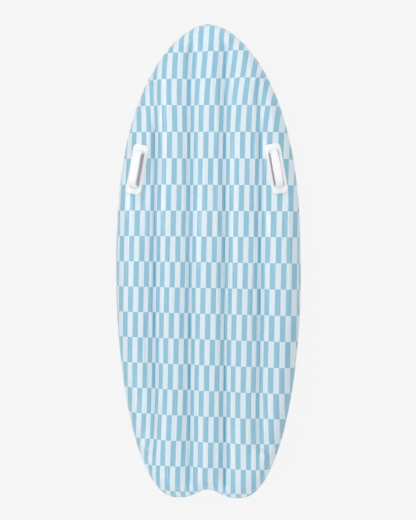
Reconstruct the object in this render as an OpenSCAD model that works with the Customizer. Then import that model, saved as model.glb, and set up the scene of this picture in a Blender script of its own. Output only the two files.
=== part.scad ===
// Inflatable bodyboard: five air tubes side by side, made of two welded skins held
// together by four inner webs, with two moulded handles and one inflation valve.
// The board lies on its underside. +Y points to the nose, +Z up, X across.

/* [Board] */
// Length from the nose tip to the tail lobes
board_length = 1600; // [1450:10:1800]
// Width at the widest station, over the weld seam
board_width = 626; // [590:2:680]
// Radius of the inflated tubes, half the board's thickness
tube_radius = 72; // [68:1:84]
// Distance between neighbouring web lines
web_pitch = 118; // [108:1:126]
// Distance from the nose tip to the widest station
widest_station = 853; // [750:1:950]
// Width of the weld seam that stands out all round
seam_width = 4; // [3:0.5:8]
// Thickness of the skin sheet
skin_thickness = 0.6; // [0.4:0.1:1]
// Height that the tubes flatten by where they rest on the ground
rest_flat = 0.8; // [0.5:0.1:1.5]

/* [Nose and tail] */
// Roundness of the nose along the board: higher is blunter
nose_length_power = 2.63; // [2.2:0.01:3.2]
// Roundness of the nose tip: lower is blunter
nose_tip_power = 0.587; // [0.5:0.001:0.65]
// Roundness of the tail along the board: higher is fuller
tail_length_power = 1.92; // [1.6:0.01:2.4]
// Roundness of the tail corners: lower is squarer
tail_corner_power = 0.48; // [0.4:0.01:0.55]
// Distance from the centreline to each tail lobe's lowest point
lobe_offset = 108; // [90:1:130]
// Depth of the notch between the tail lobes
notch_depth = 28; // [10:1:50]
// How narrow the notch is: higher is narrower
notch_power = 1.75; // [1:0.05:3]
// Share of the thickness that is lost towards the nose and tail
end_taper = 0.22; // [0.1:0.01:0.35]
// Length over which the board thins towards each end
taper_length = 400; // [300:10:500]
// Radius that rounds the nose and tail down to the seam
end_radius = 60; // [45:1:80]
// Radius that rounds the sides where no web holds the skins
side_radius = 70; // [50:1:90]

/* [Webs] */
// Thickness of the web sheet
web_thickness = 0.5; // [0.4:0.1:1]
// Width of the folded edge that is welded to the skin
web_fold = 9; // [5:1:12]
// Distance from the nose tip to the front end of the two inner webs
inner_web_front = 104; // [95:1:130]
// Distance from the nose tip to the front end of the two outer webs
outer_web_front = 222; // [215:1:260]
// Distance from the tail lobes to the rear end of the two inner webs
inner_web_rear = 62; // [56:1:80]
// Distance from the tail lobes to the rear end of the two outer webs
outer_web_rear = 186; // [150:1:220]
// Length past a web's end over which the skins swell back to their free form
web_run_out = 54; // [45:1:60]

/* [Handles] */
// Distance from the nose tip to the middle of the handles
handle_station = 495; // [440:1:560]
// Lean of each handle outwards from the crest of its tube, in degrees
handle_lean = 6.6; // [0:0.1:12]
// Turn of each handle towards the nose's centreline, in degrees
handle_turn = 10; // [6:0.1:14]
// Length of the handle base
handle_length = 167; // [150:1:185]
// Width of the handle base
handle_width = 54; // [50:1:60]
// Corner radius of the handle base
handle_corner = 14; // [10:1:22]
// Thickness of the handle base
handle_sheet = 2.4; // [1.6:0.1:4]
// Width of the raised rim along the sides of the handle base
rim_width = 10; // [6:0.5:11]
// Gap between each foot of the grip and the end of the sunk hand space
foot_gap = 1; // [0.5:0.1:3]
// Corner radius of the sunk hand space
recess_corner = 9; // [6:1:11]
// Height of the raised rim over the handle base
rim_height = 3.2; // [2:0.1:5]
// Width of the grip
grip_width = 25; // [20:1:28]
// Depth of the grip, over its turned-down edges
grip_thickness = 9; // [8:0.5:11]
// Wall of the grip, which is hollow underneath like any thick moulding
grip_wall = 2.6; // [2:0.1:3.5]
// Length of the grip between its feet, measured at its middle line
grip_span = 116; // [105:1:125]
// Height of the grip's middle line over the handle base
grip_rise = 30; // [28:1:40]
// Radius of the bends that bring the grip down to the base
grip_bend_radius = 24; // [16:1:30]

/* [Valve] */
// Distance from the tail lobes to the valve
valve_from_tail = 118; // [105:1:135]
// Radius of the valve flange welded inside the bottom skin
flange_radius = 20; // [17:0.5:21]
// Thickness of the valve flange
flange_thickness = 1; // [0.8:0.1:1.5]
// Radius of the hole in the bottom skin that the collar stands in
collar_radius = 13; // [12:0.5:14]
// Wall of the collar
collar_wall = 1.2; // [1:0.1:1.6]
// Height that the collar stands out of the bottom skin
collar_lip = 1; // [0.6:0.1:2]
// Outer radius of the valve stem
stem_radius = 5.6; // [5.2:0.1:6]
// Radius of the stem's bore
bore_radius = 4; // [3.5:0.1:4.2]
// Length of the stem
stem_length = 16; // [14:0.5:20]
// Radius of the ring at the stem's inner end
root_radius = 7.6; // [7:0.1:8]
// Thickness of the ring at the stem's inner end
root_thickness = 1.6; // [1.2:0.1:2]
// Thickness of the folding sleeve that lets the stem push in
sleeve_thickness = 0.7; // [0.5:0.1:1]
// Radius of the plug's cap
cap_radius = 7; // [6.6:0.1:7.4]
// Thickness of the plug's cap
cap_thickness = 1.6; // [1.2:0.1:2]
// Length of the plug's peg inside the stem
peg_length = 9; // [6:0.5:11]
// Gap between the plug's peg and the bore
peg_clearance = 0.05; // [0.02:0.01:0.1]
// Thickness of the check flap
flap_thickness = 0.6; // [0.4:0.1:1]
// Width of the tether that keeps the plug on the stem
tether_width = 3.5; // [2.5:0.5:4.5]
// Thickness of the tether
tether_thickness = 0.8; // [0.6:0.1:1.2]

/* [Hidden] */

pale_blue = [0.72, 0.85, 0.92];
plain_white = [0.93, 0.94, 0.95];
moulded_white = [0.97, 0.97, 0.97];
clear_grey = [0.82, 0.85, 0.87];
round_sides = 64;
// Gap between pieces that are welded or glued, and between a piece and the seat it stands in
weld_gap = 0.02;
seat_gap = 0.05;
// How close two points may be and still count as one
tiny = 0.01;

// Heights are counted from the seam plane, which lies this far above the ground.
seam_height = tube_radius - rest_flat;
// The outline along the weld line, inside the seam that stands out.
line_length = board_length - 2 * seam_width;
line_half_width = board_width / 2 - seam_width;
widest = widest_station - seam_width;
inner_web = web_pitch / 2;
outer_web = web_pitch * 1.5;
web_angle = asin(inner_web / tube_radius);
web_half = tube_radius * cos(web_angle);
// An outer tube is never taken as narrower than this.
least_outer_tube = 24;

// ---- Outline: half the width at a distance d behind the front end of the weld line ----

function nose_half(d) =
    pow(1 - pow(1 - d / widest, nose_length_power), nose_tip_power);

function tail_half(d) =
    let (s = min(1, (d - widest) / (line_length - widest)))
    pow(1 - pow(s, tail_length_power), tail_corner_power);

function half_width(d) =
    d < widest
        ? line_half_width * nose_half(max(d, 0))
        : lobe_offset + (line_half_width - lobe_offset) * tail_half(d);

// How far the tail's edge is drawn in at x: a round-bottomed bell, which ends at the lobes.
function notch(x) =
    abs(x) < lobe_offset
        ? notch_depth * pow((1 + cos(180 * x / lobe_offset)) / 2, notch_power)
        : 0;

// ---- Section: height of the skin over the seam plane ----

function ease(t) = let (c = min(1, max(0, t))) c * c * (3 - 2 * c);

// A quarter-round that rises from 0 at the seam to 1 at a distance r inside it.
function shoulder(distance, r) = sqrt(max(0, 1 - pow(max(0, 1 - distance / r), 2)));

function crown(d) =
    let (t = max(0, 1 - min(d, line_length - d) / taper_length))
    1 - end_taper * t * t;

// How fully a web pair draws the skins in at d: 1 along its length, fading to 0 past its ends.
function pull(d, front, rear) =
    let (before = front - seam_width - d, behind = d - (line_length + seam_width - rear))
    ease(1 - max(before, behind) / web_run_out);

function pull_at(x, d) =
    let (t = min(1, max(0, (abs(x) - inner_web) / web_pitch)))
    pull(d, inner_web_front, inner_web_rear) * (1 - t)
        + pull(d, outer_web_front, outer_web_rear) * t;

// The outer tube is an arc from the web line that stands upright at the seam.
function outer_arc(half, r) =
    let (w = max(half - outer_web, least_outer_tube))
    (w * w + r * r - inner_web * inner_web) / (2 * w);

function tube_height(x, half, r) =
    abs(x) <= outer_web
        ? sqrt(r * r - pow(abs(x) - web_pitch * round(abs(x) / web_pitch), 2))
        : let (a = outer_arc(half, r)) sqrt(max(0, a * a - pow(abs(x) - half + a, 2)));

// Free height of a skin that lies "inset" inside the outer surface.
function free_height(x, d, half, inset) =
    let (
        r = tube_radius - inset,
        p = pull_at(x, d),
        tubes = tube_height(x, half, r),
        pillow = r * shoulder(half - abs(x), min(side_radius, half))
    )
    (p * tubes + (1 - p) * pillow) * crown(d)
        * shoulder(d - inset, end_radius) * shoulder(line_length - inset - notch(x) - d, end_radius);

// ---- Handle seat: the outer tube is a plain cylinder where a handle is welded on ----

handle_d = handle_station - seam_width;
seat_half = half_width(handle_d);
seat_radius = outer_arc(seat_half, tube_radius);
seat_centre = seat_half - seat_radius;
seat_margin_side = 8;
seat_margin_end = 30;
seat_fade_side = 14;
seat_fade_end = 60;

// Distance across and along the handle's own axis, for a point at (x, d).
function seat_across(x, d) =
    (abs(x) - seat_centre) * cos(handle_turn) - (d - handle_d) * sin(handle_turn);
function seat_along(x, d) =
    (abs(x) - seat_centre) * sin(handle_turn) + (d - handle_d) * cos(handle_turn);

function seat_share(x, d) =
    let (
        middle = seat_radius * sin(handle_lean),
        side = abs(seat_across(x, d) - middle) - handle_width / 2 - seat_margin_side,
        end = abs(seat_along(x, d)) - handle_length / 2 - seat_margin_end
    )
    ease(1 - side / seat_fade_side) * ease(1 - end / seat_fade_end)
        * ease((abs(x) - outer_web) / seat_fade_side);

function seated_height(x, d, half, inset) =
    let (
        share = seat_share(x, d),
        free = free_height(x, d, half, inset),
        seat = sqrt(max(0, pow(seat_radius - inset, 2) - pow(seat_across(x, d), 2)))
    )
    free + share * (seat - free);

// ---- Valve patch: the underside is flat round the valve ----

valve_d = line_length + seam_width - valve_from_tail;
patch_sink = 1.5;
patch_depth = tube_radius * crown(valve_d) - patch_sink;
patch_fade = 16;
patch_side = flange_radius + 2;
patch_end = flange_radius + 18;
valve_y = valve_from_tail - board_length / 2;
valve_z = seam_height - patch_depth;

function patch_share(x, d) =
    ease(1 - max(abs(x) - patch_side, (abs(d - valve_d) - patch_end) / 2, 0) / patch_fade);

function underside_depth(x, d, half, inset) =
    let (
        free = free_height(x, d, half, inset),
        flat = min(free, tube_radius - rest_flat - inset),
        share = patch_share(x, d)
    )
    flat + share * (patch_depth - inset - flat);

// ---- Skin mesh: rows run across the board, columns run from nose to tail ----

row_count = 38;
outer_steps = 8;
tail_bend_reach = 150;

// Rows crowd together at both ends, where the skin turns down to the seam.
function row_d(j) = line_length * (1 - cos(180 * j / row_count)) / 2;

// Near the tail the rows bend until the last one follows the notch.
function row_bend(j) = pow(max(0, 1 - (line_length - row_d(j)) / tail_bend_reach), 2);

// Columns follow the web lines, and draw together where the board is narrower than they are.
inner_line_share = 0.72;
outer_line_share = 0.95;
function line_inner(half) = min(inner_web, inner_line_share * half);
function line_outer(half) = min(outer_web, outer_line_share * half);

function outer_columns(half) =
    let (
        w = half - line_outer(half),
        a = (w * w + web_half * web_half) / (2 * w),
        start = asin(1 - w / a)
    )
    [for (i = [1:outer_steps]) half - a + a * sin(start + (90 - start) * i / outer_steps)];

// Places of the columns across a tube, from -1 at one web line to 1 at the other.
arc_steps = 3;
arc_share = [for (i = [-arc_steps:arc_steps]) sin(web_angle * i / arc_steps) / sin(web_angle)];
// The underside has a column at each edge of the strip it rests on, and one on each flank.
rest_share = sqrt(2 * tube_radius * rest_flat) / inner_web;
flank_share = 0.67;
top_side = arc_share;
top_centre = [for (s = arc_share) if (s > -tiny) s];
under_side = [-1, -flank_share, -rest_share, rest_share, flank_share, 1];
under_centre = [rest_share, patch_side / inner_web, flank_share, 1];

// x of each column right of the centreline; a 0 in the centre list is the centreline itself.
function right_columns(half, centre, side) =
    let (
        c1 = line_inner(half),
        c2 = line_outer(half),
        middle = (c1 + c2) / 2,
        reach = (c2 - c1) / 2
    )
    concat(
        [for (s = centre) s * c1],
        [for (i = [1:len(side) - 1]) middle + side[i] * reach],
        outer_columns(half)
    );

function all_columns(right) =
    concat([for (i = [len(right) - 1:-1:0]) if (right[i] > tiny) -right[i]], right);

function skin_height(x, d, half, inset, top) =
    top ? seated_height(x, d, half, inset) : underside_depth(x, d, half, inset);

// One row of points of a skin surface. The ends of the row lie on the weld line, at "edge".
function skin_row(j, inset, edge, top) =
    let (
        d_row = inset + row_d(j) * (line_length - 2 * inset) / line_length,
        half = half_width(row_d(j)) - inset,
        right = right_columns(half, top ? top_centre : under_centre, top ? top_side : under_side),
        xs = all_columns(right),
        last = len(xs) - 1
    )
    [
        for (i = [0:last])
            let (
                d = d_row - row_bend(j) * notch(xs[i] * lobe_offset / half),
                on_edge = i == 0 || i == last || j == row_count
            )
            [xs[i], line_length / 2 - d, on_edge ? edge : skin_height(xs[i], d, half, inset, top)]
    ];

function flatten(rows) = [for (row = rows) for (p = row) p];

function surface_points(inset, edge, top) =
    concat(
        [[0, line_length / 2 - inset, edge]],
        flatten([for (j = [1:row_count]) skin_row(j, inset, edge, top)])
    );

// Triangles of a surface with its nose at point "start", seen clockwise from above.
function surface_faces(start, columns) =
    let (at = function (j, i) start + 1 + (j - 1) * (columns + 1) + i)
    concat(
        [for (i = [0:columns - 1]) [start, at(1, i + 1), at(1, i)]],
        [
            for (j = [1:row_count - 1], i = [0:columns - 1], half = [0, 1])
                i < columns / 2
                    ? (half == 0
                        ? [at(j, i), at(j, i + 1), at(j + 1, i + 1)]
                        : [at(j, i), at(j + 1, i + 1), at(j + 1, i)])
                    : (half == 0
                        ? [at(j, i), at(j, i + 1), at(j + 1, i)]
                        : [at(j, i + 1), at(j + 1, i + 1), at(j + 1, i)])
        ]
    );

// Indices of the points on the weld line, from the nose down the right side and back up the left.
function edge_loop(columns) =
    let (at = function (j, i) 1 + (j - 1) * (columns + 1) + i)
    concat(
        [0],
        [for (j = [1:row_count]) at(j, columns)],
        [for (i = [columns - 1:-1:0]) at(row_count, i)],
        [for (j = [row_count - 1:-1:1]) at(j, 0)]
    );

// Points moved outwards from the weld line by the width of the seam.
function seam_ring(points, loop, z) =
    let (n = len(loop))
    [
        for (k = [0:n - 1])
            let (
                t = points[loop[(k + 1) % n]] - points[loop[(k + n - 1) % n]],
                p = points[loop[k]],
                size = norm([t.x, t.y])
            )
            [p.x - seam_width * t.y / size, p.y + seam_width * t.x / size, z]
    ];

module skin(top) {
    outer = surface_points(0, skin_thickness, top);
    inner = surface_points(skin_thickness, 0, top);
    columns = len(skin_row(1, 0, 0, top)) - 1;
    loop = edge_loop(columns);
    n = len(outer);
    k = len(loop);
    rim_top = 2 * n;
    rim_under = rim_top + k;
    polyhedron(
        points = concat(
            outer, inner, seam_ring(outer, loop, skin_thickness), seam_ring(outer, loop, 0)
        ),
        faces = concat(
            surface_faces(0, columns),
            [for (f = surface_faces(n, columns)) [f[2], f[1], f[0]]],
            [for (a = [0:k - 1]) let (b = (a + 1) % k) [loop[a], rim_top + a, rim_top + b, loop[b]]],
            [for (a = [0:k - 1]) let (b = (a + 1) % k)
                [rim_top + a, rim_under + a, rim_under + b, rim_top + b]],
            [for (a = [0:k - 1]) let (b = (a + 1) % k)
                [n + loop[a], n + loop[b], rim_under + b, rim_under + a]]
        ),
        convexity = 10
    );
}

module top_skin() {
    color(pale_blue)
        translate([0, 0, seam_height])
            skin(true);
}

module bottom_skin() {
    color(plain_white)
        difference() {
            translate([0, 0, seam_height])
                mirror([0, 0, 1])
                    skin(false);
            translate([0, valve_y, 0])
                cylinder(h = seam_height, r = collar_radius, $fn = round_sides);
        }
}

// ---- Webs ----

// A web's edge has no point nearer to its ends than this.
least_step = 1;

// Inner height of a skin along a web line, as pairs of place and height.
function crease_line(x, top) =
    [
        for (j = [1:row_count - 1])
            let (
                row = skin_row(j, skin_thickness, 0, top),
                near = [for (p = row) if (abs(p.x - x) < tiny) p]
            )
            if (len(near) > 0) [near[0].y, near[0].z]
    ];

function web_edge(x, top, front_y, rear_y) =
    let (
        line = crease_line(x, top),
        height = function (y) lookup(y, [for (i = [len(line) - 1:-1:0]) line[i]]) - weld_gap
    )
    concat(
        [[front_y, height(front_y)]],
        [
            for (p = line)
                if (p.x < front_y - least_step && p.x > rear_y + least_step) [p.x, p.y - weld_gap]
        ],
        [[rear_y, height(rear_y)]]
    );

// The edge of a web is folded towards the centreline and welded flat to the skin.
module fold_section(x, top) {
    row = skin_row(row_count / 2, skin_thickness, 0, top);
    at = [for (i = [0:len(row) - 1]) if (abs(row[i].x - x) < tiny) i][0];
    inward = x > 0 ? -1 : 1;
    line = [row[at].x, row[at].z - weld_gap];
    next = [row[at + inward].x, row[at + inward].z - weld_gap];
    along = (next - line) / norm(next - line);
    down = inward * [along.y, -along.x];
    polygon([
        line,
        line + web_fold * along,
        line + web_fold * along + web_thickness * down,
        line + web_thickness * down
    ]);
}

module web(x, front, rear) {
    front_y = board_length / 2 - front;
    rear_y = rear - board_length / 2;
    above = web_edge(x, true, front_y, rear_y);
    under = web_edge(x, false, front_y, rear_y);
    straight = line_length - 2 * taper_length;
    translate([0, 0, seam_height])
        union() {
            translate([x - web_thickness / 2, 0, 0])
                rotate([90, 0, 90])
                    linear_extrude(web_thickness)
                        polygon(concat(
                            above, [for (i = [len(under) - 1:-1:0]) [under[i].x, -under[i].y]]
                        ));
            translate([0, straight / 2, 0])
                rotate([90, 0, 0])
                    linear_extrude(straight) {
                        fold_section(x, true);
                        mirror([0, 1])
                            fold_section(x, false);
                    }
        }
}

module web_left_outer() { color(plain_white) web(-outer_web, outer_web_front, outer_web_rear); }
module web_left_inner() { color(plain_white) web(-inner_web, inner_web_front, inner_web_rear); }
module web_right_inner() { color(plain_white) web(inner_web, inner_web_front, inner_web_rear); }
module web_right_outer() { color(plain_white) web(outer_web, outer_web_front, outer_web_rear); }

// ---- Handles: the base is bent round the tube, and the grip arches over its sunk middle ----

base_under = seat_radius + seat_gap;
base_top = base_under + handle_sheet;
recess_width = handle_width - 2 * rim_width;
recess_length = grip_span + grip_thickness + 2 * foot_gap;
// The rim stands this far inside the edge of the base, and reaches this far into it.
rim_inset = 1.5;
rim_root = 0.5;
foot_y = grip_span / 2;
bend_y = foot_y - grip_bend_radius;
bend_z = grip_rise - grip_bend_radius;
// The outer edges of the grip's section are fully rounded, and its turned-down edges are eased.
grip_round = grip_thickness / 2;
grip_edge_round = 1.2;
grip_hollow_round = 1.6;
foot_root = 6;

module rounded_plate(width, length, corner) {
    square([width - 2 * corner, length], center = true);
    square([width, length - 2 * corner], center = true);
    for (sx = [-1, 1], sy = [-1, 1])
        translate([sx * (width / 2 - corner), sy * (length / 2 - corner)])
            circle(corner, $fn = round_sides);
}

// The frame of a handle: its Y axis is the tube's axis and its Z axis runs through the handle.
module on_handle_seat(side) {
    translate([0, board_length / 2 - handle_station, seam_height])
        mirror([side < 0 ? 1 : 0, 0, 0])
            translate([seat_centre, 0, 0])
                rotate([0, 0, handle_turn])
                    rotate([0, handle_lean, 0])
                        children();
}

// What lies between two radii of the tube under the handle.
module tube_layer(inside, outside) {
    intersection() {
        linear_extrude(2 * seat_radius)
            children();
        rotate([90, 0, 0])
            difference() {
                cylinder(h = 2 * handle_length, r = outside, center = true, $fn = round_sides);
                cylinder(h = 3 * handle_length, r = inside, center = true, $fn = round_sides);
            }
    }
}

module handle_base() {
    rim_outer_width = handle_width - 2 * rim_inset;
    rim_outer_length = handle_length - 2 * rim_inset;
    union() {
        tube_layer(base_under, base_top)
            rounded_plate(handle_width, handle_length, handle_corner);
        tube_layer(base_top - rim_root, base_top + rim_height)
            difference() {
                rounded_plate(rim_outer_width, rim_outer_length, handle_corner - rim_inset);
                rounded_plate(recess_width, recess_length, recess_corner);
            }
    }
}

// A bar from "low" to "high" along X, with its two edges at "high" rounded.
module rounded_bar(low, high, width, radius) {
    translate([low, radius - width / 2])
        square([high - low, width - 2 * radius]);
    translate([low, -width / 2])
        square([high - radius - low, width]);
    for (s = [-1, 1])
        translate([high - radius, s * (width / 2 - radius)])
            circle(radius, $fn = round_sides);
}

// The strap is a channel: +X is its outer side, and the hollow is on the side of the fingers.
module grip_section() {
    half = grip_thickness / 2;
    edge_x = grip_edge_round - half;
    edge_y = grip_width / 2 - grip_edge_round;
    difference() {
        union() {
            rounded_bar(edge_x, half, grip_width, grip_round);
            translate([-half, -edge_y])
                square([grip_thickness - grip_round, 2 * edge_y]);
            for (s = [-1, 1])
                translate([edge_x, s * edge_y])
                    circle(grip_edge_round, $fn = round_sides);
        }
        rounded_bar(-grip_thickness, half - grip_wall, grip_width - 2 * grip_wall, grip_hollow_round);
    }
}

module grip_bend() {
    translate([0, bend_y, bend_z])
        rotate([90, 0, 90])
            rotate_extrude(angle = 90, $fn = 96)
                translate([grip_bend_radius, 0])
                    grip_section();
}

module handle_grip() {
    difference() {
        translate([0, 0, base_top])
            union() {
                translate([0, bend_y, grip_rise])
                    rotate([90, 0, 0])
                        linear_extrude(2 * bend_y)
                            rotate(90)
                                grip_section();
                for (s = [0, 1])
                    mirror([0, s, 0]) {
                        grip_bend();
                        translate([0, foot_y, -foot_root])
                            linear_extrude(bend_z + foot_root)
                                rotate(90)
                                    grip_section();
                    }
            }
        rotate([90, 0, 0])
            cylinder(h = 2 * handle_length, r = base_top + weld_gap, center = true, $fn = round_sides);
    }
}

module handle_left_base() { color(moulded_white) on_handle_seat(-1) handle_base(); }
module handle_left_grip() { color(moulded_white) on_handle_seat(-1) handle_grip(); }
module handle_right_base() { color(moulded_white) on_handle_seat(1) handle_base(); }
module handle_right_grip() { color(moulded_white) on_handle_seat(1) handle_grip(); }

// ---- Valve: pushed in, so that nothing stands out of the underside ----

cap_recess = 0.8;
hinge_inset = 2.2;
flap_inset = 0.8;
mouth_z = cap_thickness + seat_gap - cap_recess;
root_z = mouth_z + stem_length;
sleeve_outer = collar_radius - collar_wall - weld_gap;
hinge_x = root_radius - hinge_inset;
flap_radius = root_radius - flap_inset;

// The frame of the valve: Z = 0 is the outer face of the bottom skin, +Z runs into the board
// and +X runs towards the nose.
module on_valve_patch() {
    translate([0, valve_y, valve_z])
        rotate([0, 0, 90])
            children();
}

module revolve(points) {
    rotate_extrude($fn = round_sides)
        polygon(points);
}

module valve_base() {
    flange_low = skin_thickness + seat_gap;
    flange_high = flange_low + flange_thickness;
    wall = collar_radius - collar_wall;
    bead = 0.8;
    color(plain_white)
        on_valve_patch()
            revolve([
                [wall, -collar_lip],
                [collar_radius + bead, -collar_lip],
                [collar_radius + bead, -seat_gap],
                [collar_radius - seat_gap, -seat_gap],
                [collar_radius - seat_gap, flange_low],
                [flange_radius, flange_low],
                [flange_radius, flange_high],
                [wall, flange_high]
            ]);
}

module valve_sleeve() {
    cuff = 1.6;
    top = root_z - root_thickness;
    join = root_radius + seat_gap;
    color(clear_grey)
        on_valve_patch()
            revolve([
                [sleeve_outer, 0],
                [sleeve_outer, cuff],
                [join + sleeve_thickness, top],
                [join + sleeve_thickness, root_z],
                [join, root_z],
                [join, top],
                [sleeve_outer - sleeve_thickness, cuff],
                [sleeve_outer - sleeve_thickness, 0]
            ]);
}

module valve_stem() {
    color(clear_grey)
        on_valve_patch()
            revolve([
                [bore_radius, mouth_z],
                [stem_radius, mouth_z],
                [stem_radius, root_z - root_thickness],
                [root_radius, root_z - root_thickness],
                [root_radius, root_z],
                [bore_radius, root_z]
            ]);
}

module valve_flap() {
    color(clear_grey)
        on_valve_patch()
            translate([0, 0, root_z + seat_gap])
                intersection() {
                    cylinder(h = flap_thickness, r = flap_radius, $fn = round_sides);
                    translate([hinge_x - 4 * flap_radius, -2 * flap_radius, -flap_thickness])
                        cube([4 * flap_radius, 4 * flap_radius, 3 * flap_thickness]);
                }
}

module valve_plug() {
    peg_radius = bore_radius - peg_clearance;
    peg_round = 1;
    cap_round = 0.5;
    cap_z = -cap_recess;
    cap_top = cap_z + cap_thickness;
    tab_reach = 2.4;
    tab_width = 4;
    tab_inset = 0.4;
    color(moulded_white)
        on_valve_patch()
            union() {
                revolve([
                    [0, cap_z],
                    [cap_radius - cap_round, cap_z],
                    [cap_radius, cap_z + cap_round],
                    [cap_radius, cap_top],
                    [peg_radius, cap_top],
                    [peg_radius, cap_top + peg_length - peg_round],
                    [peg_radius - peg_round, cap_top + peg_length],
                    [0, cap_top + peg_length]
                ]);
                translate([-cap_radius - tab_reach, -tab_width / 2, cap_z + tab_inset])
                    cube([2 * tab_reach, tab_width, cap_thickness - 2 * tab_inset]);
            }
}

module valve_tether() {
    ring_z = mouth_z + 1.2;
    ring_height = 1.4;
    ring_bore = stem_radius + weld_gap;
    ring_wall = 1.3;
    ring_mid = ring_z + ring_height / 2;
    cap_mid = -cap_recess + cap_thickness / 2;
    loop_radius = (ring_mid - cap_mid) / 2;
    loop_x = cap_radius + seat_gap;
    strap_x = stem_radius + ring_wall / 2;
    color(moulded_white)
        on_valve_patch()
            union() {
                translate([0, 0, ring_z])
                    difference() {
                        cylinder(h = ring_height, r = ring_bore + ring_wall, $fn = round_sides);
                        translate([0, 0, -ring_height])
                            cylinder(h = 3 * ring_height, r = ring_bore, $fn = round_sides);
                    }
                translate([loop_x, 0, cap_mid + loop_radius])
                    rotate([90, 0, 0])
                        translate([0, 0, -tether_width / 2])
                            rotate([0, 0, -90])
                                rotate_extrude(angle = 180, $fn = round_sides)
                                    translate([loop_radius - tether_thickness / 2, 0])
                                        square([tether_thickness, tether_width]);
                translate([strap_x, -tether_width / 2, ring_mid - tether_thickness / 2])
                    cube([loop_x - strap_x, tether_width, tether_thickness]);
            }
}

top_skin();
bottom_skin();
web_left_outer();
web_left_inner();
web_right_inner();
web_right_outer();
handle_left_base();
handle_left_grip();
handle_right_base();
handle_right_grip();
valve_base();
valve_sleeve();
valve_stem();
valve_flap();
valve_plug();
valve_tether();
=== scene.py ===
# %% [markdown]
# # Inflatable bodyboard
# The board is an air mattress cut to the outline of a bodyboard. Two vinyl sheets are welded
# together round the edge, and four inner webs hold them together along straight lines, so that
# the air makes five tubes side by side. Two moulded handles are welded on the outer tubes, and one
# push-in valve sits under the tail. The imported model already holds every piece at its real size.
# This file gives each of them its finished surface, in metres, in the same frame: +Y is the nose,
# +Z is up, and the board lies on the floor at Z = 0.

# %% Load the frame
import math
import bmesh
import bpy
import numpy as np
from mathutils import Matrix, Vector
from mathutils.kdtree import KDTree


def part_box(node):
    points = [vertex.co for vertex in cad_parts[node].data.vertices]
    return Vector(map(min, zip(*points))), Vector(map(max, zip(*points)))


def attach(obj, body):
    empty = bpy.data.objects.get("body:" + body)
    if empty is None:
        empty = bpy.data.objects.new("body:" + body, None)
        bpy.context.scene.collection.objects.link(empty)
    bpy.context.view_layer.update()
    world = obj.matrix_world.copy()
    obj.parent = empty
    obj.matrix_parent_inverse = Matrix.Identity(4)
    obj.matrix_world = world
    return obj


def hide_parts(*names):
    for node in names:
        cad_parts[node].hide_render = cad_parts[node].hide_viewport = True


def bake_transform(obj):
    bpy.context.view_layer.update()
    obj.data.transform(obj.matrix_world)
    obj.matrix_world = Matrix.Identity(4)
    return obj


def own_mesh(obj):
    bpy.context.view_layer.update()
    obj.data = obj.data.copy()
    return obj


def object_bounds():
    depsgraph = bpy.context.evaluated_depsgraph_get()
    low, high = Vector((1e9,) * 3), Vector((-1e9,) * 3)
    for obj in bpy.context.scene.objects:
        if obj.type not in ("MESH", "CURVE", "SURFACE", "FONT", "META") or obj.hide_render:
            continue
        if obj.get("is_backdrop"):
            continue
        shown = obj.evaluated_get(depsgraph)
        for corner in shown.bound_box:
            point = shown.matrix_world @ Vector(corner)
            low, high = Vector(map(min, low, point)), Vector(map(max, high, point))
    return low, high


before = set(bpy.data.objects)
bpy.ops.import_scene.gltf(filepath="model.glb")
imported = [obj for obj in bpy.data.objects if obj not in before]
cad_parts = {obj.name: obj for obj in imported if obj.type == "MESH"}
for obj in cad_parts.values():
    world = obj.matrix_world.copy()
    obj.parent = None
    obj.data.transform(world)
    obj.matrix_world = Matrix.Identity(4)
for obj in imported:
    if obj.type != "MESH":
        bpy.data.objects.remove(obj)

cad_low, cad_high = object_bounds()
print("model box:", [round(v, 4) for v in (*cad_low, *cad_high)])

# %% [markdown]
# ## Working by hand, in code
# An operator acts on whatever is selected, and the loaded nodes arrive selected. So each new piece
# starts with nothing selected, and each modifier is applied as soon as it has done its work. A
# finished piece keeps its place in its mesh, with its object at the origin.

# %% Helpers for selecting and adding
MM = 0.001


def nothing_selected():
    bpy.ops.object.select_all(action="DESELECT")


def select_only(piece):
    nothing_selected()
    piece.select_set(True)
    bpy.context.view_layer.objects.active = piece


def start_edit(piece, action="SELECT"):
    select_only(piece)
    bpy.ops.object.mode_set(mode="EDIT")
    bpy.ops.mesh.select_all(action=action)


def end_edit():
    bpy.ops.object.mode_set(mode="OBJECT")


def just_added(name):
    """The piece that an operator has just added, under its own name."""
    piece = bpy.context.object
    piece.name = name
    piece.data.name = name
    return piece


def one_face(name, corners):
    """A new piece that is a single face with these corners."""
    nothing_selected()
    bpy.ops.mesh.primitive_plane_add(size=MM)
    piece = just_added(name)
    drawn = bmesh.new()
    drawn.faces.new([drawn.verts.new(corner) for corner in corners])
    drawn.to_mesh(piece.data)
    drawn.free()
    return piece


print("nodes in the frame:", len(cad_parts))

# %% Helpers for shaping and handing over
def apply_modifier(piece, kind, **settings):
    """Add one modifier, set it up and apply it."""
    select_only(piece)
    modifier = piece.modifiers.new(kind.lower(), kind)
    for key, value in settings.items():
        setattr(modifier, key, value)
    bpy.ops.object.modifier_apply(modifier=modifier.name)


def round_edges(piece, width, degrees, segments=2):
    apply_modifier(piece, "BEVEL", width=width, segments=segments, limit_method="ANGLE",
                   angle_limit=math.radians(degrees))


def smooth_by_angle(piece, degrees):
    select_only(piece)
    bpy.ops.object.shade_smooth_by_angle(angle=math.radians(degrees))


def points_of(mesh, what="co"):
    flat = np.empty(len(mesh.vertices) * 3)
    mesh.vertices.foreach_get(what, flat)
    return flat.reshape(-1, 3)


def put_points(mesh, points):
    mesh.vertices.foreach_set("co", np.ascontiguousarray(points, dtype=np.float32).ravel())
    mesh.update()


def hand_over(piece, packed_name):
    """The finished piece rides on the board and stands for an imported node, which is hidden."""
    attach(piece, "board")
    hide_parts(packed_name)


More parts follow.
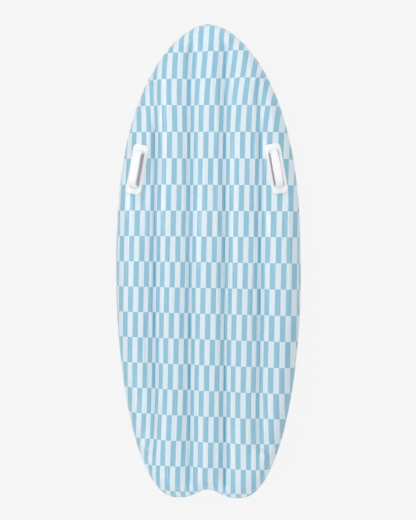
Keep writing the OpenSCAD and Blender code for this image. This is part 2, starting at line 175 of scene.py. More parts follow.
# %% [markdown]
# ## The outline
# The outline is the weld line, counted by its distance d behind the nose. Two power curves, one
# for the nose and one for the tail, meet at the widest station. A bell curve cuts the shallow,
# round-bottomed notch between the two tail lobes. Curves like these keep the edge fair, which a
# chain of points would not.

# %% Sizes and outline of the board
BOARD_LENGTH = cad_high.y - cad_low.y
SEAM_WIDTH = 4 * MM
SHEET = 0.6 * MM
TUBE_RADIUS = 72 * MM
REST_FLAT = 0.8 * MM
SEAM_HEIGHT = TUBE_RADIUS - REST_FLAT
NOSE_Y = BOARD_LENGTH / 2 - SEAM_WIDTH
LINE_LENGTH = BOARD_LENGTH - 2 * SEAM_WIDTH
HALF_LINE = 309 * MM
WIDEST = 849 * MM
NOSE_POWER = 2.63
NOSE_TIP_POWER = 0.587
TAIL_POWER = 1.92
TAIL_CORNER_POWER = 0.48
LOBE_X = 108 * MM
NOTCH_DEPTH = 28 * MM
NOTCH_POWER = 1.75


def half_width(d):
    """Half the width inside the seam, at a distance d behind the front of the weld line."""
    ahead = np.clip(1 - d / WIDEST, 0, 1)
    nose = HALF_LINE * (1 - ahead ** NOSE_POWER) ** NOSE_TIP_POWER
    behind = np.clip((d - WIDEST) / (LINE_LENGTH - WIDEST), 0, 1)
    tail = LOBE_X + (HALF_LINE - LOBE_X) * (1 - behind ** TAIL_POWER) ** TAIL_CORNER_POWER
    return np.where(d < WIDEST, nose, tail)


def front_edge(x):
    """The distance at which the outline of the nose is x wide."""
    share = np.clip(np.abs(x) / HALF_LINE, 0, 1) ** (1 / NOSE_TIP_POWER)
    return WIDEST * (1 - (1 - share) ** (1 / NOSE_POWER))


def notch(x):
    """How far the tail's edge is drawn in at x."""
    share = np.clip(np.abs(x) / LOBE_X, 0, 1)
    return NOTCH_DEPTH * ((1 + np.cos(math.pi * share)) / 2) ** NOTCH_POWER


print("weld line:", round(LINE_LENGTH, 4), "long,", round(2 * HALF_LINE, 4), "wide")

# %% [markdown]
# ## The inflated section
# Air pushes a sheet into the roundest form that its weld lines allow. Between two webs that is an
# arc, and the outer tube is an arc that stands upright at the seam. Past the ends of the webs
# nothing draws the sheets together, so the tubes run out into one pillow. The sheet also sits
# flat round the valve, follows a plain cylinder under each handle, and flattens a little where
# it rests on the floor.

# %% How far the webs draw the sheets in
WEB_PITCH = 118 * MM
INNER_WEB = WEB_PITCH / 2
OUTER_WEB = WEB_PITCH * 1.5
WEB_HALF = math.sqrt(TUBE_RADIUS ** 2 - INNER_WEB ** 2)
WEB_ANGLE = math.asin(INNER_WEB / TUBE_RADIUS)
INNER_SPAN = (100 * MM, LINE_LENGTH - 58 * MM)
OUTER_SPAN = (218 * MM, LINE_LENGTH - 182 * MM)
WEB_LINES = ((INNER_WEB, INNER_SPAN), (OUTER_WEB, OUTER_SPAN))
RUN_OUT = 54 * MM
END_TAPER = 0.22
TAPER_LENGTH = 400 * MM
END_RADIUS = 60 * MM
SIDE_RADIUS = 70 * MM
WELD_SOFTNESS = 0.8 * MM
LEAST_OUTER_TUBE = 24 * MM


def ease(t):
    t = np.clip(t, 0, 1)
    return t * t * (3 - 2 * t)


def shoulder(distance, radius):
    """A quarter-round that rises from 0 at the seam to 1 at a distance "radius" inside it."""
    return np.sqrt(np.clip(1 - np.clip(1 - distance / radius, 0, None) ** 2, 0, None))


def crown(d):
    t = np.clip(1 - np.minimum(d, LINE_LENGTH - d) / TAPER_LENGTH, 0, None)
    return 1 - END_TAPER * t * t


def pull(d, span):
    """How fully a web draws the sheets in: 1 along its length, fading to 0 past its ends."""
    return ease(1 - np.maximum(span[0] - d, d - span[1]) / RUN_OUT)


def pull_at(x, d):
    t = np.clip((np.abs(x) - INNER_WEB) / WEB_PITCH, 0, 1)
    return pull(d, INNER_SPAN) * (1 - t) + pull(d, OUTER_SPAN) * t


print("web lines at x =", INNER_WEB, "and", OUTER_WEB)

# %% Heights of the two sheets over the seam plane
def outer_arc(half):
    """Radius of the arc from an outer web to the seam, where the board is "half" wide."""
    w = np.maximum(half - OUTER_WEB, LEAST_OUTER_TUBE)
    return (w * w + WEB_HALF ** 2) / (2 * w)


def tube_height(x, half):
    """Height of the five arcs, with the weld lines between them a little softened."""
    ax = np.abs(x)
    local = ax - WEB_PITCH * np.round(ax / WEB_PITCH)
    middle = np.sqrt(np.clip(TUBE_RADIUS ** 2 - local ** 2, 0, None))
    a = outer_arc(half)
    outer = np.sqrt(np.clip(a * a - (ax - half + a) ** 2, 0, None))
    gap = np.minimum(np.abs(ax - INNER_WEB), np.abs(ax - OUTER_WEB))
    soft = INNER_WEB / WEB_HALF * (np.sqrt(gap ** 2 + WELD_SOFTNESS ** 2) - gap)
    return np.where(ax <= OUTER_WEB, middle, outer) + soft * (gap < INNER_WEB)


def free_height(x, d):
    """Height of a sheet that nothing but the webs and the seam holds."""
    half = half_width(d)
    p = pull_at(x, d)
    pillow = TUBE_RADIUS * shoulder(half - np.abs(x), np.minimum(SIDE_RADIUS, half + MM))
    rounded = shoulder(d, END_RADIUS) * shoulder(LINE_LENGTH - notch(x) - d, END_RADIUS)
    return (p * tube_height(x, half) + (1 - p) * pillow) * crown(d) * rounded


print("outer tube radius at the widest station:", round(float(outer_arc(HALF_LINE)), 4))

# %% Seats of the handles
HANDLE_D = 491 * MM
HANDLE_TURN = math.radians(10)
SEAT_HALF = float(half_width(HANDLE_D))
SEAT_RADIUS = float(outer_arc(SEAT_HALF))
SEAT_CENTRE = SEAT_HALF - SEAT_RADIUS
HANDLE_LEAN = math.radians(6.6)
BASE_LENGTH = 167 * MM
BASE_WIDTH = 54 * MM
SEAT_MARGIN_SIDE = 8 * MM
SEAT_MARGIN_END = 30 * MM
SEAT_FADE_SIDE = 14 * MM
SEAT_FADE_END = 60 * MM


def seat_place(x, d):
    """A place seen from a handle: across its turned axis and along it."""
    out, back = np.abs(x) - SEAT_CENTRE, d - HANDLE_D
    cos, sin = math.cos(HANDLE_TURN), math.sin(HANDLE_TURN)
    return out * cos - back * sin, out * sin + back * cos


def seat_share(x, d):
    """1 where a handle is welded on, fading to 0 round it."""
    across, along = seat_place(x, d)
    side = np.abs(across - SEAT_RADIUS * math.sin(HANDLE_LEAN)) - BASE_WIDTH / 2 - SEAT_MARGIN_SIDE
    end = np.abs(along) - BASE_LENGTH / 2 - SEAT_MARGIN_END
    beside = ease(1 - side / SEAT_FADE_SIDE) * ease((np.abs(x) - OUTER_WEB) / SEAT_FADE_SIDE)
    return beside * ease(1 - end / SEAT_FADE_END)


def deck_height(x, d):
    free = free_height(x, d)
    seat = np.sqrt(np.clip(SEAT_RADIUS ** 2 - seat_place(x, d)[0] ** 2, 0, None))
    share = seat_share(x, d)
    return free + np.where(share > 0, share * (seat - free), 0)


print("handle seat radius:", round(SEAT_RADIUS, 4))

# %% Patch of the valve
VALVE_TO_TAIL = 118 * MM
VALVE_D = LINE_LENGTH + SEAM_WIDTH - VALVE_TO_TAIL
VALVE_Y = NOSE_Y - VALVE_D
PATCH_SIDE = 22 * MM
PATCH_END = 38 * MM
PATCH_FADE = 16 * MM
PATCH_INSET = 1.5 * MM
PATCH_DEPTH = TUBE_RADIUS * float(crown(VALVE_D)) - PATCH_INSET
VALVE_Z = SEAM_HEIGHT - PATCH_DEPTH


def patch_share(x, d):
    """1 on the flat patch round the valve, fading to 0 round it."""
    beyond = np.maximum(np.abs(x) - PATCH_SIDE, (np.abs(d - VALVE_D) - PATCH_END) / 2)
    return ease(1 - np.maximum(beyond, 0) / PATCH_FADE)


def underside_depth(x, d):
    flat = np.minimum(free_height(x, d), SEAM_HEIGHT)
    return flat + patch_share(x, d) * (PATCH_DEPTH - flat)


print("valve height:", round(VALVE_Z, 4))

# %% [markdown]
# ## Wrinkles
# Vinyl hardly stretches, so where the board is round both ways the sheet has too much length and
# gathers. It gathers in three places: in short puckers square to the seam, most of all round the
# nose and the tail lobes; in fine ripples along each weld line; and in small fans of folds where
# a web ends, with one longer fold from each outer web towards its tail lobe. A slow swell keeps
# the rest from looking turned on a lathe. Each is a smooth formula of a place on the sheet, so
# the folds can be set by hand and come out the same every time.

# %% Places along the seam
OUTLINE_STEPS = 1400


def outline_points():
    """The weld line as a closed chain of points (x, d), from the nose down the right side."""
    share = (1 - np.cos(np.linspace(0, math.pi, OUTLINE_STEPS))) / 2
    d = share * LINE_LENGTH
    right = np.column_stack([half_width(d), d])
    x = np.linspace(LOBE_X, 0, OUTLINE_STEPS // 8)[1:]
    tail = np.column_stack([x, LINE_LENGTH - notch(x)])
    half = np.vstack([right, tail])
    mirrored = half[::-1][1:-1] * (-1, 1)
    return np.vstack([half, mirrored])


OUTLINE = outline_points()
outline_turns = np.roll(OUTLINE, -1, 0) - OUTLINE
OUTLINE_AT = np.concatenate([[0], np.cumsum(np.hypot(*outline_turns.T))[:-1]])


def seam_places(points):
    """For each point (x, d): its place along the seam and its distance inside it."""
    tree = KDTree(len(OUTLINE))
    for i, (x, d) in enumerate(OUTLINE):
        tree.insert((x, d, 0), i)
    tree.balance()
    found = [tree.find((x, d, 0)) for x, d in points]
    return OUTLINE_AT[[f[1] for f in found]], np.array([f[2] for f in found])


print("seam:", round(float(OUTLINE_AT[-1]), 3), "m long")

# %% Puckers at the seam and ripples at the welds
SEAM_PUCKER_REACH = 15 * MM
SEAM_PUCKER_STEP = 31 * MM
STRAIGHT_PUCKER = 0.28 * MM
ROUND_PUCKER = 1.25 * MM
ROUND_NOSE = 260 * MM
ROUND_TAIL = 330 * MM
WELD_RIPPLE = 0.32 * MM
WELD_RIPPLE_STEP = 34 * MM
WELD_RIPPLE_REACH = 11 * MM


def swaying(place, step, seed):
    """A wave whose folds are uneven, with broad bulges and narrow valleys."""
    phase = place / step + 0.9 * np.sin(place / (2.7 * step) + seed) \
        + 0.5 * np.sin(place / (1.3 * step) + 2.3 * seed)
    return 2 * np.abs(np.sin(math.pi * phase)) ** 0.8 - 1.1


def seam_puckers(d, along, inside, seed):
    near = inside / SEAM_PUCKER_REACH
    roundness = np.maximum(ease(1 - d / ROUND_NOSE), ease(1 - (LINE_LENGTH - d) / ROUND_TAIL))
    height = STRAIGHT_PUCKER + (ROUND_PUCKER - STRAIGHT_PUCKER) * roundness
    return height * near * np.exp(1 - near) * swaying(along, SEAM_PUCKER_STEP, seed)


def weld_ripples(x, d, seed):
    total = np.zeros_like(x)
    for number, (line, span) in enumerate(WEB_LINES):
        for side in (-1, 1):
            gap = np.abs(x - side * line) / WELD_RIPPLE_REACH
            wave = swaying(d, WELD_RIPPLE_STEP, seed + 1.7 * number + 0.9 * side)
            total += WELD_RIPPLE * gap * np.exp(1 - gap) * wave * pull(d, span)
    return total


print("pucker height:", STRAIGHT_PUCKER, "to", ROUND_PUCKER)

# %% Folds where the webs end, and the slow swell
FAN_REACH = 30 * MM
FAN_HEIGHT = 1.5 * MM
FAN_FOLDS = 7
TAIL_FOLD_HEIGHT = 3.2 * MM
TAIL_FOLD_LENGTH = 58 * MM
TAIL_FOLD_WIDTH = 11 * MM
TAIL_FOLD_ANGLE = math.radians(24)
TAIL_FOLD_MIDDLE = 0.75
TAIL_FOLD_SPREAD = 0.5
SWELL = 0.5 * MM
SWELL_STEPS = (61 * MM, 97 * MM, 143 * MM, 88 * MM)


def fan(x, d, end_x, end_d, heading, seed):
    """Short folds that spread from the end of a web, heading away from it."""
    reach = np.hypot(x - end_x, d - end_d)
    angle = np.arctan2(x - end_x, heading * (d - end_d))
    spread = np.clip(np.cos(angle), 0, 1) ** 1.5
    near = reach / FAN_REACH
    return FAN_HEIGHT * near * np.exp(1 - near) * spread * np.cos(FAN_FOLDS * angle + seed)


def long_fold(x, d, end_x, end_d, side):
    """One long fold that runs from an outer web's end back and out to the seam."""
    dx, dd = side * (x - end_x), d - end_d
    cos, sin = math.cos(TAIL_FOLD_ANGLE), math.sin(TAIL_FOLD_ANGLE)
    along = (dd * cos + dx * sin) / TAIL_FOLD_LENGTH
    across = (dx * cos - dd * sin) / TAIL_FOLD_WIDTH
    along_share = np.exp(-((along - TAIL_FOLD_MIDDLE) / TAIL_FOLD_SPREAD) ** 2)
    return TAIL_FOLD_HEIGHT * along_share * (1 - across ** 2) * np.exp(-across ** 2)


def web_end_folds(x, d, seed):
    total = np.zeros_like(x)
    for line, span in WEB_LINES:
        for side in (-1, 1):
            for heading, end_d in ((-1, span[0]), (1, span[1])):
                total += fan(x, d, side * line, end_d, heading, seed + side * line / MM + end_d)
    for side in (-1, 1):
        total += long_fold(x, d, side * OUTER_WEB, OUTER_SPAN[1], side)
    return total


def swell(x, d, seed):
    """The slow, slight unevenness of a hand-filled board."""
    quick, bend, slow, slant = SWELL_STEPS
    return SWELL * (np.sin(d / quick + 3 * np.sin(x / bend + seed))
                    + 0.6 * np.sin(d / slow - x / slant + 2 * seed))


print("web ends with a fan:", 4 * len(WEB_LINES))

# %% [markdown]
# ## The print
# The deck is printed flat, before it is welded, as a long checkerboard: stripes half a pitch wide
# that swap colour at every row. So the pattern follows the sheet and not the finished shape. The
# first UV number counts stripes from the middle line, over the rounds of the tubes, so the stripes
# look narrower where the sheet dives into a weld line. The second counts rows behind the nose.
# No sheet is laid down quite true: the print leans a little, it is slightly narrower on the
# right, its rows are skewed towards the tail, and it is drawn out at the nose. The creases at the
# webs' welds get painted shade, as darker lines in the print, so that mask is made here too.

# %% Stripes across the board
# A tuple here is an amount, the place where its change begins and the length that it takes.
STRIPE = 17.65 * MM
LEFT_STRETCH = 0.995
RIGHT_STRETCH = 0.99
RIGHT_SPREAD = 0.083
PRINT_LEAN = 0.0189
PRINT_SHIFT = 24.2 * MM
NOSE_SHIFT = (11 * MM, 40 * MM, 240 * MM)
OUTER_RADIUS = float(outer_arc(HALF_LINE))
TUBE_CREST = HALF_LINE - OUTER_RADIUS
STEEP = math.radians(62)
NOSE_TAKE_UP = (0.3, 60 * MM, 340 * MM)
TAIL_TAKE_UP = (0.72, LINE_LENGTH - 40 * MM, 340 * MM)


def gained(d, begin, length):
    """0 ahead of a place, rising to 1 over a length behind it."""
    return ease((d - begin) / length)


def over_the_tubes(x):
    """Length over the rounds of the tubes from the middle line to x.

    The sheet gathers on the board's shoulders, so there the print is as wide as it looks from
    above. It is smooth again on the steep side.
    """
    ax = np.abs(x)
    tube = np.clip(np.round(ax / WEB_PITCH), 0, 1)
    local = np.minimum(ax, OUTER_WEB) - tube * WEB_PITCH
    inner = TUBE_RADIUS * (2 * WEB_ANGLE * tube + np.arcsin(local / TUBE_RADIUS))
    a, out = OUTER_RADIUS, ax - TUBE_CREST
    start = math.asin((OUTER_WEB - TUBE_CREST) / a)
    outer = a * (np.arcsin(np.clip(out / a, math.sin(start), 0)) - start)
    beyond = np.clip(out / a, math.sin(STEEP), 1)
    side = np.clip(out, 0, a * math.sin(STEEP)) + a * (np.arcsin(beyond) - STEEP)
    return np.sign(x) * (inner + outer + side)


def stripes_across(x, d):
    least, *ramp = NOSE_TAKE_UP
    take_up = least + (1 - least) * gained(d, *ramp)
    least, begin, length = TAIL_TAKE_UP
    take_up *= least + (1 - least) * ease((begin - d) / length)
    width = x + take_up * (over_the_tubes(x) - x)
    width *= np.where(x < 0, LEFT_STRETCH, RIGHT_STRETCH)
    width -= RIGHT_SPREAD * (np.clip(x, OUTER_WEB, TUBE_CREST) - OUTER_WEB)
    most, *ramp = NOSE_SHIFT
    aside = PRINT_SHIFT - PRINT_LEAN * d + most * (1 - gained(d, *ramp))
    return (width - aside) / STRIPE


print("half a stripe pitch:", STRIPE)

# %% Rows along the board, and painted shade in the weld creases
ROW_PITCH = 85.7 * MM
FIRST_ROW = 115.1 * MM
NOSE_ROWS = 0.55
NOSE_ROWS_END = 0.62
ROW_SKEW = 0.008
TAIL_SKEW = (0.029, 600 * MM, 730 * MM)
NOSE_SKEW = (-0.035, 60 * MM, 240 * MM)
CREASE_SHADE_WIDTH = 2.2 * MM
CREASE_SHADE_GROWS = (140 * MM, 450 * MM)


def rows_behind(x, d):
    tail, *ramp = TAIL_SKEW
    skew = ROW_SKEW + tail * gained(d, *ramp)
    nose, *ramp = NOSE_SKEW
    skew += nose * (1 - gained(d, *ramp))
    straight = d - skew * x
    ahead = np.clip(NOSE_ROWS_END - straight, 0, None)
    return (straight - FIRST_ROW) / ROW_PITCH + NOSE_ROWS * ahead ** 1.5


def crease_shade_mark(x, d):
    """Painted shade in the creases along the webs, faint near the nose and where they end."""
    mark = np.zeros_like(x)
    for line, span in WEB_LINES:
        mark += np.exp(-((np.abs(x) - line) / CREASE_SHADE_WIDTH) ** 2) * pull(d, span)
    return mark * gained(d, *CREASE_SHADE_GROWS)


print("rows on the board:", round(float(rows_behind(np.zeros(1), np.array([LINE_LENGTH]))[0]), 2))

# %% [markdown]
# ## The two sheets
# A sheet starts as a flat grid. Its columns are laid over the tubes, evenly by angle so that the
# round parts get as many faces as the flat ones, and two pairs of columns run exactly along the
# weld lines. Its rows run across. The first row follows the front of the nose and the last one
# the tail's edge, which leaves no point where all the columns would pinch together.

# %% Places of the grid's points
TUBE_COLUMNS = 20
OUTER_COLUMNS = 28
COLUMNS = 3 * TUBE_COLUMNS + 2 * OUTER_COLUMNS
END_ROWS = 13
ROW_STEP = 5 * MM
FRONT_CORNER = 60 * MM
REAR_BEND = 150 * MM
FRONT_BEND = 200 * MM
INNER_SHARE = 0.53
OUTER_SHARE = 0.827


def row_places():
    """Distance behind the nose at which each row meets the side of the outline."""
    turn = END_RADIUS * (1 - np.cos(np.linspace(0, math.pi / 2, END_ROWS)))
    first = FRONT_CORNER + turn
    last = LINE_LENGTH - turn[::-1]
    steps = int(round((last[0] - first[-1]) / ROW_STEP))
    middle = np.linspace(first[-1], last[0], steps + 1)[1:-1]
    return np.concatenate([first, middle, last])


def column_places(half):
    """x of every column, for rows that are "half" wide on each side of the middle line."""
    inner = np.minimum(INNER_WEB, INNER_SHARE * half)
    outer = np.minimum(OUTER_WEB, OUTER_SHARE * half)
    turns = np.linspace(-WEB_ANGLE, WEB_ANGLE, TUBE_COLUMNS + 1)
    across = np.sin(turns) / math.sin(WEB_ANGLE)
    centre = inner[:, None] * across[None, :]
    side = (inner + outer)[:, None] / 2 + (outer - inner)[:, None] / 2 * across[None, 1:]
    w = half - outer
    a = (w * w + WEB_HALF ** 2) / (2 * w)
    start = np.arcsin(1 - w / a)
    share = np.linspace(0, 1, OUTER_COLUMNS + 1)[1:]
    angle = start[:, None] + (math.pi / 2 - start)[:, None] * share[None, :]
    rim = (half - a)[:, None] + a[:, None] * np.sin(angle)
    right = np.hstack([side, rim])
    return np.hstack([-right[:, ::-1], centre, right])


ROWS_AT = row_places()
ROWS = len(ROWS_AT) - 1


def place_grid():
    """x and d of every grid point, row by row from the nose."""
    half = half_width(ROWS_AT)
    xs = column_places(half)
    front_x = half_width(np.array(FRONT_CORNER))
    front_bend = np.clip(1 - (ROWS_AT - FRONT_CORNER) / FRONT_BEND, 0, 1) ** 2
    rear_bend = np.clip(1 - (LINE_LENGTH - ROWS_AT) / REAR_BEND, 0, 1) ** 2
    share = xs / half[:, None]
    ds = ROWS_AT[:, None] - front_bend[:, None] * (FRONT_CORNER - front_edge(share * front_x)) \
        - rear_bend[:, None] * notch(share * LOBE_X)
    return xs, ds


print("grid:", ROWS, "rows of", COLUMNS, "faces")

# %% [markdown]
# The grid comes flat, and its points are set to their places by their row and column. Its print
# coordinates and its mask of painted crease shade are taken from the same places. Then it is
# wrinkled along its normals, and its edge is extruded outwards for the seam.

# %% Steps for one sheet
SEAM_CALM = 22 * MM


def flat_grid(name):
    """A grid as it comes, and the row and column of each of its points."""
    nothing_selected()
    bpy.ops.mesh.primitive_grid_add(x_subdivisions=COLUMNS, y_subdivisions=ROWS, size=2)
    sheet = just_added(name)
    places = points_of(sheet.data)
    column = np.rint((places[:, 0] + 1) / 2 * COLUMNS).astype(int)
    row = np.rint((1 - places[:, 1]) / 2 * ROWS).astype(int)
    return sheet, row, column


def add_print(mesh, stripes, rows):
    """Give the sheet its print coordinates, as a UV layer."""
    layer = mesh.uv_layers.active or mesh.uv_layers.new(name="print")
    layer.name = "print"
    corners = np.empty(len(mesh.loops), dtype=np.int64)
    mesh.loops.foreach_get("vertex_index", corners)
    counts = np.column_stack([stripes, rows])[corners].astype(np.float32)
    layer.data.foreach_set("uv", counts.ravel())


def add_mask(mesh, name, values):
    """Give every point a number from 0 to 1, which a material can read by its name."""
    mask = mesh.attributes.get(name) or mesh.attributes.new(name, "FLOAT", "POINT")
    mask.data.foreach_set("value", np.asarray(values, dtype=np.float32))


def wrinkle(mesh, x, d, seed, free):
    """Push the points along their normals by the wrinkles, where the sheet is free to move."""
    along, inside = seam_places(np.column_stack([x, d]))
    folds = weld_ripples(x, d, seed) + web_end_folds(x, d, seed) + swell(x, d, seed)
    push = seam_puckers(d, along, inside, seed) + folds * ease(inside / SEAM_CALM)
    put_points(mesh, points_of(mesh) + points_of(mesh, "normal") * (push * free)[:, None])


def add_seam(sheet):
    """Extrude the open edge outwards by the width of the seam, and mask the new points."""
    start_edit(sheet, "DESELECT")
    bpy.ops.mesh.select_mode(type="EDGE")
    bpy.ops.mesh.select_non_manifold(extend=False)
    bpy.ops.mesh.extrude_region_move()
    end_edit()
    edge = bmesh.new()
    edge.from_mesh(sheet.data)
    on_seam = [v.is_boundary for v in edge.verts]
    ring = [v for v in edge.verts if v.is_boundary]
    moved = []
    for v in ring:
        ahead, behind = (e.other_vert(v).co for e in v.link_edges if e.is_boundary)
        along = (ahead - behind).normalized()
        outward = Vector((along.y, -along.x, 0))
        if outward.dot(v.co) < 0:
            outward.negate()
        moved.append(v.co + outward * SEAM_WIDTH)
    for v, place in zip(ring, moved):
        v.co = place
    edge.to_mesh(sheet.data)
    edge.free()
    add_mask(sheet.data, "seam", on_seam)


print("layers on a sheet: print, weld, seam")

# %% Lay both sheets
REST_BEGINS = 6 * REST_FLAT
REST_GROWS = 4 * REST_FLAT


def lay_sheet(name, height, side, seed, free):
    """One whole sheet: side is 1 for the deck and -1 for the underside."""
    sheet, row, column = flat_grid(name)
    mesh = sheet.data
    xs, ds = place_grid()
    x, d = xs[row, column], ds[row, column]
    on_edge = (row == 0) | (row == ROWS) | (column == 0) | (column == COLUMNS)
    rise = np.where(on_edge, 0, height(x, d))
    z = SHEET + rise * (TUBE_RADIUS - SHEET) / TUBE_RADIUS
    add_print(mesh, stripes_across(x, d), rows_behind(x, d))
    # the "weld" mask holds painted shade for the creases along the webs
    add_mask(mesh, "weld", crease_shade_mark(x, d))
    put_points(mesh, np.column_stack([x, NOSE_Y - d, SEAM_HEIGHT + z]))
    wrinkle(mesh, x, d, seed, free(x, d) * ~on_edge)
    add_seam(sheet)
    if side < 0:
        points = points_of(mesh)
        points[:, 2] = 2 * SEAM_HEIGHT - points[:, 2]
        put_points(mesh, points)
        mesh.flip_normals()
    return sheet


def free_of_handles(x, d):
    return 1 - seat_share(x, d)


def free_of_floor_and_valve(x, d):
    resting = ease((free_height(x, d) - TUBE_RADIUS + REST_BEGINS) / REST_GROWS)
    return (1 - resting) * (1 - patch_share(x, d))


deck = lay_sheet("deck", deck_height, side=1, seed=0.7, free=free_of_handles)
underside = lay_sheet("underside", underside_depth, side=-1, seed=2.9,
                      free=free_of_floor_and_valve)
print("deck:", len(deck.data.polygons), "faces; underside:", len(underside.data.polygons))

# %% [markdown]
# Both sheets get their thickness towards the air inside. The valve's collar stands in a round hole
# in the underside, and cutting it with a Boolean keeps it truly round, whatever the grid does
# there.

# %% Thicken the sheets and cut the valve hole
VALVE_HOLE = 13 * MM
HOLE_SIDES = 64
CUT_DEPTH = 20 * MM


def cut_valve_hole(sheet):
    nothing_selected()
    bpy.ops.mesh.primitive_cylinder_add(
        vertices=HOLE_SIDES, radius=VALVE_HOLE, depth=CUT_DEPTH, location=(0, VALVE_Y, VALVE_Z))
    cutter = bpy.context.object
    apply_modifier(sheet, "BOOLEAN", object=cutter, operation="DIFFERENCE", solver="EXACT")
    bpy.data.objects.remove(cutter)


def thicken(sheet):
    apply_modifier(sheet, "SOLIDIFY", thickness=SHEET, offset=-1, use_rim=True)
    smooth_by_angle(sheet, 50)


thicken(deck)
thicken(underside)
cut_valve_hole(underside)
hand_over(deck, "top_skin")
hand_over(underside, "bottom_skin")
print("deck box:", [round(v, 4) for c in (deck.bound_box[0], deck.bound_box[6]) for v in c])

# %% [markdown]
# ## The handles
# Each handle is moulded in soft white plastic: a base with a raised rim round a sunk hand space,
# and a flat grip that arches over it. The base is modelled flat, as the mould maker would draw
# it. It starts as a plane with rounded corners, and each step of its section is one extrude with
# one resize. It is then cut into narrow strips, so that it can be bent round the tube.

# %% Steps for moulded pieces
ORIGIN = (0, 0, 0)
SAME_PLACE = 0.01 * MM


def extrude_on(y, z, steps=1):
    for _ in range(steps):
        bpy.ops.mesh.extrude_region_move(
            TRANSFORM_OT_translate={"value": (0, y / steps, z / steps)})


def extrude_up(height, width_share=1, length_share=1):
    """Extrude the selected face, then resize the new one about the middle line."""
    extrude_on(0, height)
    if (width_share, length_share) != (1, 1):
        bpy.ops.transform.resize(value=(width_share, length_share, 1), center_override=ORIGIN)


def slice_lengthwise(piece, half, strips):
    """Cut a piece by upright planes, so that it can bend about its length."""
    start_edit(piece)
    for place in np.linspace(-half, half, strips + 1)[1:-1]:
        bpy.ops.mesh.select_all(action="SELECT")
        bpy.ops.mesh.bisect(plane_co=(place, 0, 0), plane_no=(1, 0, 0))
    end_edit()


def recalculate(piece):
    """Join the points that share a place, and turn every face outwards."""
    start_edit(piece)
    bpy.ops.mesh.remove_doubles(threshold=SAME_PLACE)
    bpy.ops.mesh.normals_make_consistent(inside=False)
    end_edit()


print("points closer than", SAME_PLACE, "m are joined")

# %% Model a handle base, flat
BASE_UNDER = SEAT_RADIUS + 0.05 * MM
BASE_SHEET = 2.4 * MM
BASE_TOP = BASE_UNDER + BASE_SHEET
BASE_CORNER = 14 * MM
RIM_EDGE = 1.5 * MM
RIM_HEIGHT = 3.2 * MM
RIM_ROUND = 0.9 * MM
RECESS_WIDTH = 34 * MM
RECESS_LENGTH = 127 * MM
BASE_STRIPS = 22


def flat_base(name):
    nothing_selected()
    bpy.ops.mesh.primitive_plane_add(size=1)
    base = just_added(name)
    base.scale = (BASE_WIDTH, BASE_LENGTH, 1)
    bpy.ops.object.transform_apply(location=False, rotation=False, scale=True)
    start_edit(base)
    bpy.ops.mesh.bevel(offset=BASE_CORNER, segments=9, affect="VERTICES", profile=0.5)
    bpy.ops.mesh.select_mode(type="FACE")
    bpy.ops.mesh.select_all(action="SELECT")
    rim_width, rim_length = BASE_WIDTH - 2 * RIM_EDGE, BASE_LENGTH - 2 * RIM_EDGE
    extrude_up(BASE_SHEET)
    extrude_up(0, rim_width / BASE_WIDTH, rim_length / BASE_LENGTH)
    extrude_up(RIM_HEIGHT)
    extrude_up(0, RECESS_WIDTH / rim_width, RECESS_LENGTH / rim_length)
    extrude_up(-RIM_HEIGHT)
    end_edit()
    recalculate(base)
    round_edges(base, RIM_ROUND, 40, segments=3)
    slice_lengthwise(base, BASE_WIDTH / 2, BASE_STRIPS)
    return base


def bend_round_tube(piece):
    """Height over the flat base becomes height over the tube, and the outline stays as seen."""
    points = points_of(piece.data)
    points[:, 2] = np.sqrt((BASE_UNDER + points[:, 2]) ** 2 - points[:, 0] ** 2)
    put_points(piece.data, points)


def mark_shaded_hollow(piece):
    """Mask the floor of the sunk hand space for painted shade, while the base is still flat."""
    across, along, up = np.abs(points_of(piece.data)).T
    floor = (across < RECESS_WIDTH / 2) & (along < RECESS_LENGTH / 2) & (up > MM)
    add_mask(piece.data, "hollow", floor & (up < BASE_SHEET + MM))


right_base = flat_base("right_handle_base")
mark_shaded_hollow(right_base)
bend_round_tube(right_base)
smooth_by_angle(right_base, 40)
print("handle base:", len(right_base.data.polygons), "faces")

# %% [markdown]
# The grip is a strap, hollow underneath like any thick moulding. One half is made: its section
# is drawn at the middle, extruded along, spun down through a quarter turn and extruded to the
# base. Mirror makes the other half. It is a little fuller in the middle, where the palm lies,
# and its feet flare where they meet the base.

# %% Model a grip
GRIP_WIDTH = 25 * MM
GRIP_THICKNESS = 9 * MM
GRIP_FOOT = 58 * MM
GRIP_WALL = 2.6 * MM
GRIP_EDGE_ROUND = 1.2 * MM
GRIP_HOLLOW_ROUND = 1.6 * MM
GRIP_CROWN = 0.8 * MM
GRIP_RISE = 30 * MM
GRIP_BEND = 24 * MM
GRIP_SINK = 1.2 * MM
CROWN_HALF = GRIP_FOOT - GRIP_BEND
PALM_SWELL = 0.1
FOOT_FLARE = 0.16
FLARE_HEIGHT = 5 * MM


def round_corner(across, up, radius, start, end, steps):
    """Points along an arc in the section, with the angles in degrees."""
    turns = np.radians(np.linspace(start, end, steps + 1))
    return [(across + radius * math.cos(t), up + radius * math.sin(t)) for t in turns]


def channel_section():
    """Right half of the section, from the crown's middle round to the roof of the hollow."""
    reach, half_depth = GRIP_WIDTH / 2, GRIP_THICKNESS / 2
    edge_across, edge_up = reach - GRIP_EDGE_ROUND, GRIP_EDGE_ROUND - half_depth
    hollow_half, roof = reach - GRIP_WALL, half_depth - GRIP_WALL
    flat_half = reach - half_depth
    crown = [(flat_half * t, half_depth + GRIP_CROWN * (1 - t * t)) for t in (0, 0.35, 0.7)]
    return (crown
            + round_corner(flat_half, 0, half_depth, 90, 0, 6)
            + round_corner(edge_across, edge_up, GRIP_EDGE_ROUND, 0, -90, 3)
            + [(hollow_half, -half_depth)]
            + round_corner(hollow_half - GRIP_HOLLOW_ROUND, roof - GRIP_HOLLOW_ROUND,
                           GRIP_HOLLOW_ROUND, 0, 90, 3)
            + [(0, roof)])


